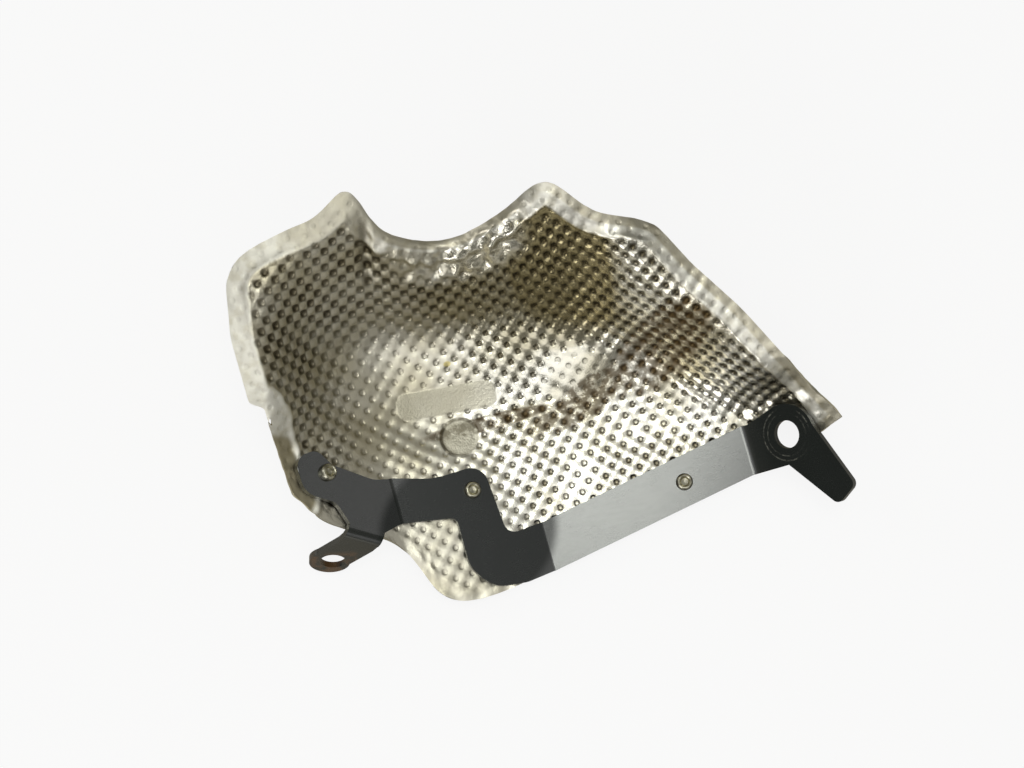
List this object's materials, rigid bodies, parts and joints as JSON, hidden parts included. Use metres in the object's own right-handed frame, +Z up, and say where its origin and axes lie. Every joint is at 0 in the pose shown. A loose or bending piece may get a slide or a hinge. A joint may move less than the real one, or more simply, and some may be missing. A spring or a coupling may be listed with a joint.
{
  "type": "heat shield",
  "caption": "Embossed aluminium heat shield, open at the front and notched at the back for a shaft, with a bent steel bracket riveted inside along its front edge.",
  "frame": {"origin": "centre of the bolt hole in the bracket's ring, half way through the steel", "axes": "+X to the right along the front edge, towards the ring; +Y from the open front to the notch at the back; +Z up out of the open side"},
  "size_m": [0.2164, 0.1585, 0.0698],
  "materials": {
    "shell": "bright embossed foil, stained brown in its creases",
    "bracket": "semi-gloss black paint, rubbed at the bolt hole and along its edges",
    "rivets": "yellowish zinc plating"
  },
  "bodies": {
    "root": {"shell": "shell", "bracket": "bracket", "rivet_left": "rivets", "rivet_knee": "rivets", "rivet_strap": "rivets"}
  },
  "joints": []
}
